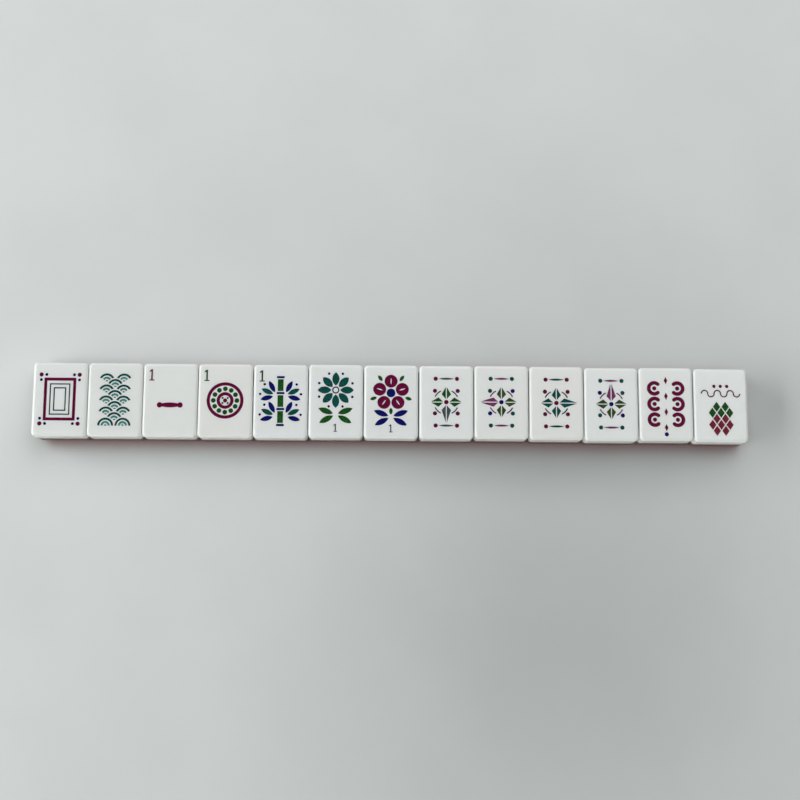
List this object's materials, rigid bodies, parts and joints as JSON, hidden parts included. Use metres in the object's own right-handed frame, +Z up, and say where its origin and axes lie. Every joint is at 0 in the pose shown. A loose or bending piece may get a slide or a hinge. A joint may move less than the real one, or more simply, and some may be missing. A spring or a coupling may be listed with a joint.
{
  "type": "mahjong tile row",
  "caption": "Row of loose mahjong tiles lying face up, each a white resin face on a thin green stripe and a tinted back, with an engraved and painted picture.",
  "frame": {"origin": "centre of the row's footprint, on the plane that the backs lie on", "axes": "+X along the row from the first tile to the last, +Y from the foot of the pictures to their head, +Z up out of the faces"},
  "size_m": [0.2888, 0.0306, 0.014],
  "materials": {
    "face_white": "polished cast resin, slightly clear, with a satin bloom",
    "stripe_green": "polished cast resin, olive green",
    "back_tint": "polished cast resin, mauve pink, slightly clear",
    "paint": "enamel pooled in the engraving"
  },
  "bodies": {
    "frame_tile": {"frame_tile_face": "face_white", "frame_tile_stripe": "stripe_green", "frame_tile_back": "back_tint", "frame_tile_paint": "paint"},
    "green_dragon": {"green_dragon_face": "face_white", "green_dragon_stripe": "stripe_green", "green_dragon_back": "back_tint", "green_dragon_paint": "paint"},
    "one_crak": {"one_crak_face": "face_white", "one_crak_stripe": "stripe_green", "one_crak_back": "back_tint", "one_crak_paint": "paint"},
    "one_dot": {"one_dot_face": "face_white", "one_dot_stripe": "stripe_green", "one_dot_back": "back_tint", "one_dot_paint": "paint"},
    "one_bam": {"one_bam_face": "face_white", "one_bam_stripe": "stripe_green", "one_bam_back": "back_tint", "one_bam_paint": "paint"},
    "flower_teal": {"flower_teal_face": "face_white", "flower_teal_stripe": "stripe_green", "flower_teal_back": "back_tint", "flower_teal_paint": "paint"},
    "flower_magenta": {"flower_magenta_face": "face_white", "flower_magenta_stripe": "stripe_green", "flower_magenta_back": "back_tint", "flower_magenta_paint": "paint"},
    "south": {"south_face": "face_white", "south_stripe": "stripe_green", "south_back": "back_tint", "south_paint": "paint"},
    "west": {"west_face": "face_white", "west_stripe": "stripe_green", "west_back": "back_tint", "west_paint": "paint"},
    "east": {"east_face": "face_white", "east_stripe": "stripe_green", "east_back": "back_tint", "east_paint": "paint"},
    "north": {"north_face": "face_white", "north_stripe": "stripe_green", "north_back": "back_tint", "north_paint": "paint"},
    "red_dragon": {"red_dragon_face": "face_white", "red_dragon_stripe": "stripe_green", "red_dragon_back": "back_tint", "red_dragon_paint": "paint"},
    "joker": {"joker_face": "face_white", "joker_stripe": "stripe_green", "joker_back": "back_tint", "joker_paint": "paint"}
  },
  "joints": [
    {"name": "frame_tile_lift", "type": "slide", "parent": "flower_magenta", "child": "frame_tile", "axis": [0, 0, 1], "range_m": [0, 0.03]},
    {"name": "green_dragon_lift", "type": "slide", "parent": "flower_magenta", "child": "green_dragon", "axis": [0, 0, 1], "range_m": [0, 0.03]},
    {"name": "one_crak_lift", "type": "slide", "parent": "flower_magenta", "child": "one_crak", "axis": [0, 0, 1], "range_m": [0, 0.03]},
    {"name": "one_dot_lift", "type": "slide", "parent": "flower_magenta", "child": "one_dot", "axis": [0, 0, 1], "range_m": [0, 0.03]},
    {"name": "one_bam_lift", "type": "slide", "parent": "flower_magenta", "child": "one_bam", "axis": [0, 0, 1], "range_m": [0, 0.03]},
    {"name": "flower_teal_lift", "type": "slide", "parent": "flower_magenta", "child": "flower_teal", "axis": [0, 0, 1], "range_m": [0, 0.03]},
    {"name": "south_lift", "type": "slide", "parent": "flower_magenta", "child": "south", "axis": [0, 0, 1], "range_m": [0, 0.03]},
    {"name": "west_lift", "type": "slide", "parent": "flower_magenta", "child": "west", "axis": [0, 0, 1], "range_m": [0, 0.03]},
    {"name": "east_lift", "type": "slide", "parent": "flower_magenta", "child": "east", "axis": [0, 0, 1], "range_m": [0, 0.03]},
    {"name": "north_lift", "type": "slide", "parent": "flower_magenta", "child": "north", "axis": [0, 0, 1], "range_m": [0, 0.03]},
    {"name": "red_dragon_lift", "type": "slide", "parent": "flower_magenta", "child": "red_dragon", "axis": [0, 0, 1], "range_m": [0, 0.03]},
    {"name": "joker_lift", "type": "slide", "parent": "flower_magenta", "child": "joker", "axis": [0, 0, 1], "range_m": [0, 0.03]}
  ]
}
